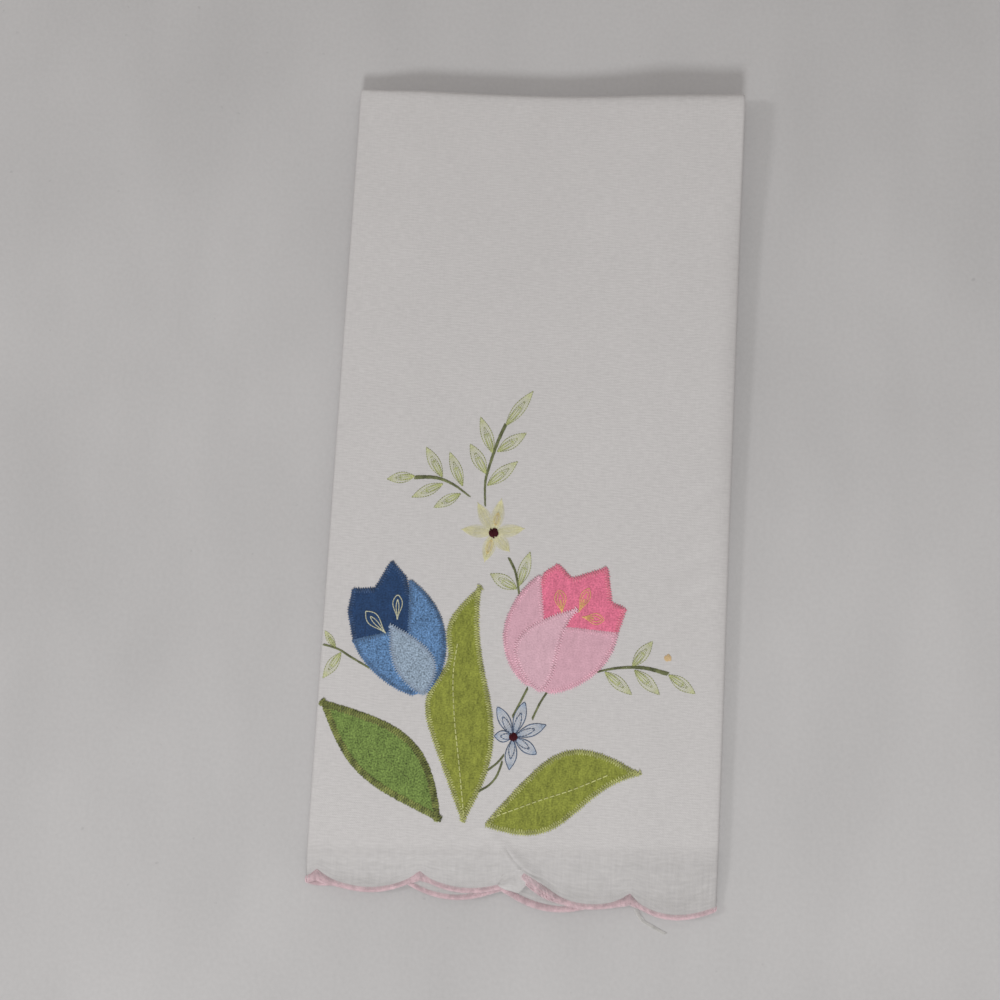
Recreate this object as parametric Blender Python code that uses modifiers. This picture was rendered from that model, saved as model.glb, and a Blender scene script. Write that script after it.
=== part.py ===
"""A hand towel with a scalloped hem and a spray of appliquéd tulips, folded and laid flat.

The cloth is one sheet. Its two sides are folded behind, so that a panel is left in front, and the whole
is then folded in half across. From the inside of the fold outwards each half holds the right flap, the
left flap and the panel. The front half lies on the back half, a little shorter at its hidden end.

Frame: metres, +Z up. X runs across the panel and Y up it, from the scalloped hem to the top fold. The
origin is under the middle of the folded towel, on the surface that it lies on.
"""

import math

import bmesh
import bpy

MM = 0.001

# The cloth as it was cut, and the panel that it is folded to
TOWEL_WIDTH = 356 * MM
PANEL_WIDTH = 140 * MM
LEFT_FLAP = 103 * MM
TOP_Y = 144.2 * MM
HEM_Y = -138 * MM
BACK_END_LEFT = 8.1 * MM
BACK_END_RIGHT = 16.2 * MM
TOP_DIP = 2.0 * MM

# The cloth, its layers and what lies between them
CLOTH = 1.0 * MM
LAYER_GAP = 0.4 * MM
PITCH = CLOTH + LAYER_GAP
BEND = PITCH / 2
TWO_LAYERS = 2 * CLOTH + LAYER_GAP
THREE_LAYERS = TWO_LAYERS + PITCH
PIECE_GAP = 0.3 * MM

# Places across the panel, from its left fold, between which the layers climb over a flap's free edge
RIGHT_FLAP_CLIMB = (1 * MM, 26 * MM)
LEFT_FLAP_FALL = (104 * MM, 139 * MM)

# How far the loop at the top fold stands open: half the space that it leaves between the two halves
LOOP_LEFT = 0.8 * MM
LOOP_RIGHT = 3.2 * MM
LOOP_OPENS = (70 * MM, 138 * MM)
LOOP_RISE = 1.2
LOOP_SQUARENESS = 3.6

# The scalloped hem. Its scallops hang below the line of the notches between them.
SCALLOP_PITCH = TOWEL_WIDTH / 10
SCALLOP_DEPTH = 5.2 * MM
EDGING_WIDTH = 2.3 * MM
HEM_BAND = 12 * MM
HEM_CLEARANCE = 1.0 * MM
DROOP_SHORT = 1.0 * MM

# The flaps were folded a little askew, which shows in where their hems lie under the panel's
LEFT_FLAP_LIFT = 1.65 * MM
LEFT_FLAP_SKEW = 0.046
RIGHT_FLAP_LIFT = 3.0 * MM
LIFT_REACH = 12 * MM

# The panel's hem is drawn up at one place, where the spare cloth stands in a short slanting ridge, and
# sags beside it and by the left fold. Each reaches so far to its left and to its right, in millimetres.
HEM_PULLS = [
    {"at": 72, "drawn_up": 2.6, "left": 30, "right": 13},
    {"at": 118, "drawn_up": -3.0, "left": 20, "right": 20},
    {"at": 3, "drawn_up": -1.4, "left": 9, "right": 9},
]
PULL_REACH = 17 * MM
RIDGE_HEIGHT = 2.2 * MM
RIDGE_WIDTH = 3.2 * MM
RIDGE_X = 82 * MM
RIDGE_SLANT = -1.05
RIDGE_FADES = (-2 * MM, 21 * MM)

# Appliquéd pieces
PATCH = 0.5 * MM
SEAM = 0.5 * MM

# Steps of the grids
FLAP_STEP = 6.6 * MM
PANEL_STEP = 5.0 * MM
BEND_STEPS = 5
HEM_STEPS = 6
LOOP_STEPS = 7
BACK_STEPS = 4
SHARP_ANGLE = math.radians(50)
FRONT_ROWS = [14.5 * MM, 17 * MM, 20 * MM, 30 * MM, 60 * MM, 100 * MM, 150 * MM, 200 * MM, 240 * MM]

# Colours, linear
WHITE = (0.55, 0.54, 0.54)
EDGE_PINK = (0.54, 0.38, 0.41)
DARK_BLUE = (0.02, 0.05, 0.15)
MID_BLUE = (0.11, 0.20, 0.38)
LIGHT_BLUE = (0.28, 0.35, 0.43)
DEEP_PINK = (0.65, 0.14, 0.25)
PALE_PINK = (0.60, 0.36, 0.43)
LEAF_GREEN = (0.12, 0.20, 0.05)
OLIVE_GREEN = (0.22, 0.24, 0.04)

# Each leaf runs from one tip to the other, bowed to its left. One with a sway sways to its right first
# and then to its left. It is widest nearer the first tip where its fullness is under 1. Its left side is
# tucked in where it passes a flower. In millimetres, with the tuck's place as a part of the length.
LEAVES = {
    "leaf_left": {
        "from": (-68.5, -79.5),
        "to": (-24.5, -117.5),
        "half_width": 9.9,
        "bow": 2.3,
        "sway": 0.9,
        "fullness": 1.04,
        "tuck": 0,
        "tuck_at": 0.5,
        "colour": LEAF_GREEN,
    },
    "leaf_middle": {
        "from": (-16.5, -117.5),
        "to": (-15, -37.5),
        "half_width": 11.7,
        "bow": 5.4,
        "sway": 3.1,
        "fullness": 1.0,
        "tuck": 8.2,
        "tuck_at": 0.67,
        "colour": OLIVE_GREEN,
    },
    "leaf_right": {
        "from": (-8.8, -118),
        "to": (42.5, -98),
        "half_width": 10.2,
        "bow": 3.9,
        "sway": 2.7,
        "fullness": 0.92,
        "tuck": 0,
        "tuck_at": 0.5,
        "colour": OLIVE_GREEN,
    },
}
TUCK_LENGTH = 0.13

# Each tulip stands on its base and leans from the panel's length. Heights are along its axis and places
# across it, in millimetres. The front petal is a bowed drop. A side petal fills the cup from the front
# petal out to its own side, up to its rim; a tall one goes on from there to its tip, beside the heart.
# The heart is the inside of the flower, from the petals up to the points of the crown.
TULIPS = {
    "blue_tulip": {
        "base": (-34, -76),
        "lean": 15,
        "front": {
            "foot": 1.6,
            "tip": (-5, 26),
            "half_width": 6.9,
            "bow": 1.9,
            "fullness": 0.84,
            "colour": LIGHT_BLUE,
        },
        "left": {"width": 19.3, "widest": 27, "roundness": 0.68, "rim": 23.7, "tip": None, "colour": MID_BLUE},
        "right": {
            "width": 12.9,
            "widest": 20,
            "roundness": 0.5,
            "rim": 21.5,
            "tip": (4.8, 39.5),
            "colour": MID_BLUE,
        },
        "crown": [(-18.9, 33.5), (-15.8, 41), (-7.8, 39.5), (-0.3, 47.5), (3.6, 41)],
        "heart_colour": DARK_BLUE,
    },
    "pink_tulip": {
        "base": (7.4, -72.5),
        "lean": -17,
        "front": {
            "foot": -0.5,
            "tip": (2.5, 31),
            "half_width": 7.4,
            "bow": -7,
            "fullness": 0.72,
            "colour": PALE_PINK,
        },
        "left": {
            "width": 19.3,
            "widest": 20,
            "roundness": 0.44,
            "rim": 23.7,
            "tip": (-13.6, 37.5),
            "colour": PALE_PINK,
        },
        "right": {
            "width": 18.4,
            "widest": 23,
            "roundness": 0.6,
            "rim": 23.9,
            "tip": (17.9, 27.9),
            "colour": PALE_PINK,
        },
        "crown": [(-12.5, 39), (-9, 43.3), (-2.9, 40.2), (7.3, 47.9), (12.6, 37), (18, 36.6)],
        "heart_colour": DEEP_PINK,
    },
}
PETAL_CLOSING = 2.2
TIP_WIDTH = 0.6
PETAL_FOOT = 0.7
LEAF_SECTIONS = 14
PETAL_SECTIONS = 12
HEART_SECTIONS = 24
LEAST_SECTION = 0.4
SEARCH_STEP = 0.1


def ease(low, high, value):
    """0 below low and 1 above high, with a soft start and end."""
    part = min(max((value - low) / (high - low), 0), 1)
    return part * part * (3 - 2 * part)


def mix(first, second, part):
    return first + (second - first) * part


def half_stack(across):
    """Thickness of one folded half: two layers at the sides, and three where the flaps overlap."""
    climbs = ease(*RIGHT_FLAP_CLIMB, across) * (1 - ease(*LEFT_FLAP_FALL, across))
    return mix(TWO_LAYERS, THREE_LAYERS, climbs)


def loop_inside(across):
    return mix(LOOP_LEFT, LOOP_RIGHT, ease(*LOOP_OPENS, across))


def loop_centre(across):
    """Distance from the hem's notch line up to the centre of the loop at the top fold."""
    from_middle = across / PANEL_WIDTH * 2 - 1
    dip = TOP_DIP * (1 - from_middle**2)
    outer_radius = loop_inside(across) + LAYER_GAP / 2 + half_stack(across)
    return TOP_Y - HEM_Y - dip - outer_radius


def back_end(across):
    """Distance from the notch line up to the far end of the cloth, under the front half."""
    return mix(BACK_END_LEFT, BACK_END_RIGHT, across / PANEL_WIDTH)


def front_height(across, up, depth):
    """Height of a layer of the front half, whose middle lies at this depth from the fold's inside."""
    opened = 2 * loop_inside(across) * (max(up, 0) / loop_centre(across)) ** LOOP_RISE
    lying = half_stack(across) + LAYER_GAP + depth + opened
    drooping = HEM_CLEARANCE + depth
    return mix(drooping, lying, ease(-DROOP_SHORT, back_end(across) - DROOP_SHORT, up))


def hem_pull(across, up):
    """How far the panel's cloth is drawn up the panel near its hem."""
    drawn = 0
    for pull in HEM_PULLS:
        off = across / MM - pull["at"]
        spread = pull["left"] if off < 0 else pull["right"]
        drawn += pull["drawn_up"] * MM * math.exp(-((off / spread) ** 2))
    return drawn * (1 - ease(0, PULL_REACH, up))


def flap_shift(across, up, layer):
    """How far a flap's cloth lies up the panel near its hem: as the panel at the fold, then askew."""
    fold = 0 if layer == "left_flap" else PANEL_WIDTH
    from_fold = abs(across - fold)
    lift = LEFT_FLAP_LIFT if layer == "left_flap" else RIGHT_FLAP_LIFT
    skew = LEFT_FLAP_SKEW if layer == "left_flap" else 0
    shift = lift * ease(0, LIFT_REACH, from_fold) - skew * from_fold
    carried = hem_pull(fold, up) * (1 - ease(0, LIFT_REACH, from_fold))
    return shift * (1 - ease(HEM_BAND, 2 * HEM_BAND, up)) + carried


def ridge(across, up):
    """Height of the slanting ridge that the drawn-up hem leaves in the panel."""
    crest = RIDGE_X + RIDGE_SLANT * max(up, 0)
    bump = math.exp(-(((across - crest) / RIDGE_WIDTH) ** 2))
    return RIDGE_HEIGHT * bump * (1 - ease(*RIDGE_FADES, up))


def across_section(cut):
    """Place across the fold, depth from its inside, and layer of a point of the cloth's width.

    cut runs over the width, from the free edge of the left flap to that of the right flap.
    """
    edge = BEND + CLOTH / 2
    arc = math.pi * BEND
    flap_end = LEFT_FLAP - edge
    panel_start = flap_end + arc
    panel_end = panel_start + PANEL_WIDTH - 2 * edge
    if cut < flap_end:
        across = LEFT_FLAP - cut
        return across, CLOTH / 2 + PITCH * ease(*RIGHT_FLAP_CLIMB, across), "left_flap"
    if cut < panel_start:
        turn = math.pi * (cut - flap_end) / arc
        return edge - BEND * math.sin(turn), edge - BEND * math.cos(turn), "panel"
    if cut <= panel_end:
        across = edge + cut - panel_start
        return across, half_stack(across) - CLOTH / 2, "panel"
    if cut < panel_end + arc:
        turn = math.pi * (cut - panel_end) / arc
        return PANEL_WIDTH - edge + BEND * math.sin(turn), edge + BEND * math.cos(turn), "panel"
    return PANEL_WIDTH - edge - (cut - panel_end - arc), CLOTH / 2, "right_flap"


def front_point(cut, up):
    """A point of the front half, this far up from the line of the hem's notches."""
    across, depth, layer = across_section(cut)
    raised = 0
    if layer == "panel":
        up += hem_pull(across, up)
        raised = ridge(across, up)
    else:
        up += flap_shift(across, up, layer)
    height = front_height(across, up, depth) + raised
    return (across - PANEL_WIDTH / 2, HEM_Y + up, height)


def loop_point(cut, turn):
    """A point of the squarish loop at the top fold, turned from 0 at the front half to 1 at the back."""
    across, depth, _ = across_section(cut)
    radius = loop_inside(across) + LAYER_GAP / 2 + depth
    middle = half_stack(across) + LAYER_GAP / 2 + loop_inside(across)
    angle = math.pi * (0.5 - turn)
    outward = max(math.cos(angle), 0) ** (2 / LOOP_SQUARENESS)
    upward = math.copysign(abs(math.sin(angle)) ** (2 / LOOP_SQUARENESS), math.sin(angle))
    along = HEM_Y + loop_centre(across) + radius * outward
    return (across - PANEL_WIDTH / 2, along, middle + radius * upward)


def back_point(cut, part):
    """A point of the back half, from 0 at the top fold to 1 at the plain end of the cloth."""
    across, depth, _ = across_section(cut)
    along = HEM_Y + mix(loop_centre(across), back_end(across), part)
    return (across - PANEL_WIDTH / 2, along, half_stack(across) - depth)


def scallop(cut):
    """Height of the hem's outer edge over the line of the notches, which is never above it."""
    part = (cut / SCALLOP_PITCH) % 1
    return -4 * SCALLOP_DEPTH * part * (1 - part)


def steps(start, end, step):
    count = max(1, round((end - start) / step))
    return [mix(start, end, index / count) for index in range(count)]


def cloth_columns():
    """Places over the cloth's width for the grid: close together round the side folds."""
    edge = BEND + CLOTH / 2
    arc = math.pi * BEND
    flap_end = LEFT_FLAP - edge
    panel_end = flap_end + arc + PANEL_WIDTH - 2 * edge
    return (
        steps(0, flap_end, FLAP_STEP)
        + steps(flap_end, flap_end + arc, arc / BEND_STEPS)
        + steps(flap_end + arc, panel_end, PANEL_STEP)
        + steps(panel_end, panel_end + arc, arc / BEND_STEPS)
        + steps(panel_end + arc, TOWEL_WIDTH, FLAP_STEP)
        + [TOWEL_WIDTH]
    )


def cloth_rows():
    """Rows of the grid, each a function that places a point of the cloth's width."""
    rows = []
    for index in range(HEM_STEPS + 1):
        part = index / HEM_STEPS
        rows.append(lambda cut, part=part: front_point(cut, mix(cloth_edge(cut), HEM_BAND, part)))
    for up in FRONT_ROWS:
        rows.append(lambda cut, up=up: front_point(cut, up))
    for index in range(LOOP_STEPS + 1):
        rows.append(lambda cut, turn=index / LOOP_STEPS: loop_point(cut, turn))
    for index in range(1, BACK_STEPS + 1):
        rows.append(lambda cut, part=index / BACK_STEPS: back_point(cut, part))
    return rows


def cloth_edge(cut):
    return scallop(cut) + EDGING_WIDTH + PIECE_GAP


def make_material(name, colour):
    material = bpy.data.materials.new(name)
    material.use_nodes = True
    shader = material.node_tree.nodes["Principled BSDF"]
    shader.inputs["Base Color"].default_value = (*colour, 1)
    shader.inputs["Roughness"].default_value = 0.9
    return material


def make_sheet(name, columns, rows, thickness, colour, origin=(0, 0, 0), parent=None):
    """A grid with each point placed by its row's function of its column, thickened to a sheet."""
    mesh = bpy.data.meshes.new(name)
    grid = bmesh.new()
    bmesh.ops.create_grid(grid, x_segments=len(columns) - 1, y_segments=len(rows) - 1, size=1)
    for point in grid.verts:
        column = round((point.co.x + 1) / 2 * (len(columns) - 1))
        row = round((point.co.y + 1) / 2 * (len(rows) - 1))
        placed = rows[row](columns[column])
        point.co = [placed[axis] - origin[axis] for axis in range(3)]
    grid.to_mesh(mesh)
    grid.free()
    mesh.materials.append(make_material(name, colour))
    sheet = bpy.data.objects.new(name, mesh)
    sheet.location = origin
    sheet.parent = parent
    towel_parts.objects.link(sheet)
    solid = sheet.modifiers.new("thickness", "SOLIDIFY")
    solid.thickness = thickness
    solid.offset = 0
    mesh.shade_smooth()
    mesh.set_sharp_from_angle(angle=SHARP_ANGLE)
    return sheet


def panel_top(x, y, lift):
    """The point over this place of the panel, lifted from its upper face."""
    across = x + PANEL_WIDTH / 2
    depth = half_stack(across) - CLOTH / 2
    return (x, y, front_height(across, y - HEM_Y, depth) + CLOTH / 2 + lift)


def drop(part, half_width, fullness):
    """Half width of a leaf or a petal that is pointed at both ends."""
    return half_width * math.sin(math.pi * part**fullness)


def bowed(part, bow):
    return 4 * bow * part * (1 - part)


def leaf_rows(leaf, length):
    """Rows of the distance along a leaf and how far it reaches to its right and to its left."""
    rows = []
    for index in range(LEAF_SECTIONS + 1):
        part = index / LEAF_SECTIONS
        half = max(drop(part, leaf["half_width"], leaf["fullness"]), TIP_WIDTH / 2)
        middle = bowed(part, leaf["bow"]) - leaf["sway"] * math.sin(2 * math.pi * part)
        tucked = leaf["tuck"] * math.exp(-(((part - leaf["tuck_at"]) / TUCK_LENGTH) ** 2))
        rows.append((part * length, middle - half, middle + half - tucked))
    return rows


def front_sides(front, up):
    """Left and right side of a tulip's front petal at this height, or nothing above its tip."""
    tip_across, tip_up = front["tip"]
    if up > tip_up:
        return None
    part = max(up, 0) / tip_up
    middle = mix(front["foot"], tip_across, part) + bowed(part, front["bow"])
    half = max(drop(part, front["half_width"], front["fullness"]), TIP_WIDTH / 2)
    return middle - half, middle + half


def outer_side(petal, up):
    """Distance from the axis of a side petal's outer edge."""
    if up <= petal["widest"]:
        return petal["width"] * math.sin(math.pi / 2 * up / petal["widest"]) ** petal["roundness"]
    if petal["tip"] is None:
        return petal["width"]
    part = (up - petal["widest"]) / (petal["tip"][1] - petal["widest"])
    return mix(petal["width"], abs(petal["tip"][0]) + TIP_WIDTH / 2, min(part, 1) ** PETAL_CLOSING)


def side_petal_sides(tulip, side, up):
    """Left and right side of a side petal at this height, or nothing above its top."""
    petal = tulip[side]
    left = side == "left"
    top = petal["tip"][1] if petal["tip"] else petal["rim"]
    if up > top:
        return None
    inner = front_sides(tulip["front"], min(up, petal["rim"]))[0 if left else 1]
    if up > petal["rim"]:
        tip_inner = petal["tip"][0] + (TIP_WIDTH if left else -TIP_WIDTH) / 2
        inner = mix(inner, tip_inner, (up - petal["rim"]) / (top - petal["rim"]))
    outer = outer_side(petal, up)
    return (-outer, inner) if left else (inner, outer)


def petal_rows(sides, bottom, top):
    """Rows of the height up a tulip and a petal's two sides."""
    heights = [mix(bottom, top, index / PETAL_SECTIONS) for index in range(PETAL_SECTIONS + 1)]
    return [(up, *sides(up)) for up in heights]


def petals_top(tulip, across):
    """Height up to which the petals of a tulip cover this place across it, a seam's width included."""
    up = max(petal["tip"][1] for petal in (tulip["left"], tulip["right"], tulip["front"]) if petal["tip"])
    reach = SEAM / MM / 2
    while up > 0:
        for sides in (
            front_sides(tulip["front"], up),
            side_petal_sides(tulip, "left", up),
            side_petal_sides(tulip, "right", up),
        ):
            if sides and sides[0] - reach <= across <= sides[1] + reach:
                return up
        up -= SEARCH_STEP
    return 0


def crown_height(crown, across):
    for (low, start), (high, end) in zip(crown, crown[1:]):
        if across <= high:
            return mix(start, end, (across - low) / (high - low))
    return crown[-1][1]


def heart_rows(tulip):
    """Rows of the place across a tulip and its heart's lower and upper edge."""
    crown = tulip["crown"]
    first, last = crown[0][0], crown[-1][0]
    evenly = [mix(first, last, index / HEART_SECTIONS) for index in range(HEART_SECTIONS + 1)]
    tip = tulip["front"]["tip"][0]
    points = [across for across, _ in crown[1:-1]]
    points += [tip + side * TIP_WIDTH / 2 for side in (-3, -1, 1, 3)]
    places = [across for across in evenly if min(abs(across - point) for point in points) > LEAST_SECTION]
    return [
        (across, petals_top(tulip, across), crown_height(crown, across))
        for across in sorted(places + points)
    ]


def make_patch(name, base, heading, rows, colour, parent, mirrored=False, cells=4):
    """An appliquéd piece: a flat shape of rows along a heading, laid over the panel's top face.

    Each row holds the distance along the heading and the two sides' distances to the left of it, or to
    the right where mirrored, in millimetres. Its sides are trimmed by half a seam.
    """
    along = (math.cos(heading), math.sin(heading))
    aside = (math.sin(heading), -math.cos(heading)) if mirrored else (-math.sin(heading), math.cos(heading))
    origin = panel_top(base[0] * MM, base[1] * MM, PIECE_GAP)

    def placer(row):
        def place(part):
            low = row[1] * MM + SEAM / 2
            high = max(row[2] * MM - SEAM / 2, low + SEAM / 2)
            side = mix(low, high, part)
            x = base[0] * MM + row[0] * MM * along[0] + side * aside[0]
            y = base[1] * MM + row[0] * MM * along[1] + side * aside[1]
            return panel_top(x, y, PIECE_GAP + PATCH / 2)

        return place

    columns = [index / cells for index in range(cells + 1)]
    return make_sheet(name, columns, [placer(row) for row in rows], PATCH, colour, origin, parent)


def make_towel():
    return make_sheet("towel", cloth_columns(), cloth_rows(), CLOTH, WHITE)


def make_edging(towel):
    """The satin-stitched edging, outside the cloth's scalloped edge."""
    rows = [
        lambda cut, part=part: front_point(cut, scallop(cut) + part * EDGING_WIDTH)
        for part in (0, 0.5, 1)
    ]
    return make_sheet("scallop_edging", cloth_columns(), rows, CLOTH, EDGE_PINK, parent=towel)


def make_leaves(towel):
    for name, leaf in LEAVES.items():
        run = [leaf["to"][axis] - leaf["from"][axis] for axis in range(2)]
        heading = math.atan2(run[1], run[0])
        make_patch(name, leaf["from"], heading, leaf_rows(leaf, math.hypot(*run)), leaf["colour"], towel)


def make_tulips(towel):
    for name, tulip in TULIPS.items():
        base = tulip["base"]
        up = math.radians(90 + tulip["lean"])
        front = tulip["front"]
        rows = petal_rows(lambda height: front_sides(front, height), 0, front["tip"][1])
        make_patch(name + "_front_petal", base, up, rows, front["colour"], towel, mirrored=True)
        for side in ("left", "right"):
            petal = tulip[side]
            top = petal["tip"][1] if petal["tip"] else petal["rim"]
            rows = petal_rows(lambda height: side_petal_sides(tulip, side, height), PETAL_FOOT, top)
            piece = name + "_" + side + "_petal"
            make_patch(piece, base, up, rows, petal["colour"], towel, mirrored=True)
        across = up - math.pi / 2
        make_patch(name + "_heart", base, across, heart_rows(tulip), tulip["heart_colour"], towel, cells=3)


for leftover in list(bpy.data.objects):
    bpy.data.objects.remove(leftover, do_unlink=True)
towel_parts = bpy.data.collections.new("hand_towel")
bpy.context.scene.collection.children.link(towel_parts)

folded_towel = make_towel()
make_edging(folded_towel)
make_leaves(folded_towel)
make_tulips(folded_towel)
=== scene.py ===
"""Looks of the folded hand towel: its cloth, appliqué, embroidery, floor, light and camera.

Lengths are in metres unless a comment says otherwise. Places on the front panel are in millimetres: x
from its middle and y in the towel's own frame. The fold repeats the solid's own section at a finer grid.
"""

from math import atan2, copysign, cos, dist, exp, hypot, pi, radians, sin, sqrt

import bmesh
import bpy
from mathutils import Matrix, Vector, noise


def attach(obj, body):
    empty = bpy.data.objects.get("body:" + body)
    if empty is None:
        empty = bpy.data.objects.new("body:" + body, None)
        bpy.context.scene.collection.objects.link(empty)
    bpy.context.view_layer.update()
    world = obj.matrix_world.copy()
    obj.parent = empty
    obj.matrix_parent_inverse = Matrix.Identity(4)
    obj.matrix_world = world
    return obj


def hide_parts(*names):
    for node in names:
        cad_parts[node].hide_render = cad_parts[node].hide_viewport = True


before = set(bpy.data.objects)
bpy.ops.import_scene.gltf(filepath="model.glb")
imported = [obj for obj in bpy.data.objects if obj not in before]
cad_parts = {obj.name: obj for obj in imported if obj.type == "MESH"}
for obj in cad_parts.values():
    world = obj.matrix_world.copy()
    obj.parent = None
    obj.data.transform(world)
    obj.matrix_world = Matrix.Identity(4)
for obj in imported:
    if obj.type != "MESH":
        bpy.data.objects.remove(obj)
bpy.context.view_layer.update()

MM = 0.001

# The cloth as it was cut, and the panel that it is folded to
TOWEL_WIDTH = 356 * MM
PANEL_WIDTH = 140 * MM
LEFT_FLAP = 103 * MM
TOP_Y = 144.2 * MM
HEM_Y = -138 * MM
BACK_END_LEFT = 8.1 * MM
BACK_END_RIGHT = 16.2 * MM
TOP_DIP = 2 * MM

# The solid's cloth, its layers and what lies between them, and the thinner cloth that is seen
CLOTH = 1 * MM
LAYER_GAP = 0.4 * MM
PITCH = CLOTH + LAYER_GAP
BEND = PITCH / 2
TWO_LAYERS = 2 * CLOTH + LAYER_GAP
THREE_LAYERS = TWO_LAYERS + PITCH
SEEN_CLOTH = 0.7 * MM

# Places along the cloth's width, from the left flap's side, between which it bends round the side folds
FOLD_EDGE = BEND + CLOTH / 2
FOLD_ARC = pi * BEND
FLAP_END = LEFT_FLAP - FOLD_EDGE
PANEL_START = FLAP_END + FOLD_ARC
PANEL_END = PANEL_START + PANEL_WIDTH - 2 * FOLD_EDGE

RIGHT_FLAP_CLIMB = (1 * MM, 26 * MM)
LEFT_FLAP_FALL = (104 * MM, 139 * MM)

LOOP_LEFT = 0.8 * MM
LOOP_RIGHT = 3.2 * MM
LOOP_OPENS = (70 * MM, 138 * MM)
LOOP_RISE = 1.2

SCALLOP_PITCH = TOWEL_WIDTH / 10
SCALLOP_DEPTH = 5.2 * MM
EDGING_WIDTH = 2.3 * MM
HEM_BAND = 12 * MM
HEM_CLEARANCE = 1 * MM
DROOP_SHORT = 1 * MM

LEFT_FLAP_LIFT = 1.65 * MM
LEFT_FLAP_SKEW = 0.046
RIGHT_FLAP_LIFT = 3 * MM
LIFT_REACH = 12 * MM

# Where the panel's hem is drawn up or sags, by how much, and how far to its left and right, in millimetres
HEM_PULLS = [(72, 2.6, 30, 13), (118, -3, 20, 20), (3, -1.4, 9, 9)]
PULL_REACH = 17 * MM
RIDGE_HEIGHT = 1.1 * MM
RIDGE_WIDTH = 3 * MM
RIDGE_X = 82 * MM
RIDGE_SLANT = -1.05
RIDGE_FADES = (-2 * MM, 21 * MM)

# The front half sinks a little towards the right fold, where the loop stands open
SETTLE_LEAST = 0.6 * MM
SETTLE_MOST = 2.5 * MM
SETTLE_SHARE = 0.65
SETTLE_REACH = 10 * MM
SETTLE_POWER = 3
SETTLE_FADE = 60 * MM
LOOP_SQUARENESS = 3.6

# Soft waves of the panel: height, length across and up it, and place in the noise. Its creases: both ends,
# bow to the left, width on the left and on the right, and height. All of it is in panel millimetres.
WAVES = [(0.16, 30, 46, 0.3), (0.05, 9, 14, 7.3)]
CREASES = [
    ((-7.5, -119), (-15.2, -134), 0, 1.9, 1.9, -0.4),
    ((-2.4, -124.2), (12, -135.2), -2, 0.35, 2.6, 0.3),
    ((-2.2, -124), (12.2, -135), -2, 0.4, 0.4, -0.4),
    ((-4, -125.6), (0.4, -131.8), 0, 0.35, 1.6, 0.12),
    ((-13.5, -123), (-12.5, -133), 0, 1.2, 1.2, -0.2),
    ((36, -58), (68, -38), 0, 1.6, 1.6, -0.2),
    ((52, -40.5), (69, -31.5), 0, 1.3, 1.3, -0.3),
    ((47, -32), (69, -20), 0, 2.2, 2.2, -0.26),
    ((55, -8), (69, 6), 0, 2.6, 2.6, -0.26),
]
CREASE_TAPER = 0.2
FLAT_BY_FOLD = (1 * MM, 6 * MM)
FLAT_BY_LOOP = 10 * MM

# Steps of the cloth's grid
FLAP_STEP = 4 * MM
PANEL_STEP = 1.5 * MM
FINE_STEP = 0.36 * MM
FINE_PART = (64 * MM, 86 * MM)
BEND_STEPS = 6
HEM_STEPS = 26
LOWER_STEPS = 44
LOWER_SHARE = 0.07
FRONT_STEPS = 110
LOOP_STEPS = 20
BACK_STEPS = 10

# The white cloth: its colour; the painted shade, standing in for the light that the thin cloth lets through
# where only the floor lies behind the hem, and the weaker painted shade of the tuck; over what way below
# the back half's end that painted shade begins; and its threads' pitch in millimetres. Colours are linear.
WHITE = (0.608, 0.584, 0.583)
PAINTED_OPEN_SHADE = 0.83
PAINTED_TUCK_SHADE = 0.88
PAINTED_SHADE_START = (-2 * MM, 5 * MM)
WEAVE_PITCH = 0.8

# Appliquéd cloths: colour, how mottled, how speckled
CLOTHS = {
    "olive": ((0.248, 0.272, 0.047), 0.35, 0.45),
    "green": ((0.165, 0.24, 0.06), 0.35, 0.9),
    "dark_blue": ((0.019, 0.052, 0.135), 0.25, 0.5),
    "mid_blue": ((0.115, 0.225, 0.42), 0.4, 1),
    "light_blue": ((0.3, 0.38, 0.48), 0.2, 0.85),
    "deep_pink": ((0.76, 0.184, 0.296), 0.2, 0.4),
    "pale_pink": ((0.686, 0.4, 0.48), 0.1, 0.12),
    "front_pink": ((0.697, 0.437, 0.512), 0.1, 0.12),
}

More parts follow.
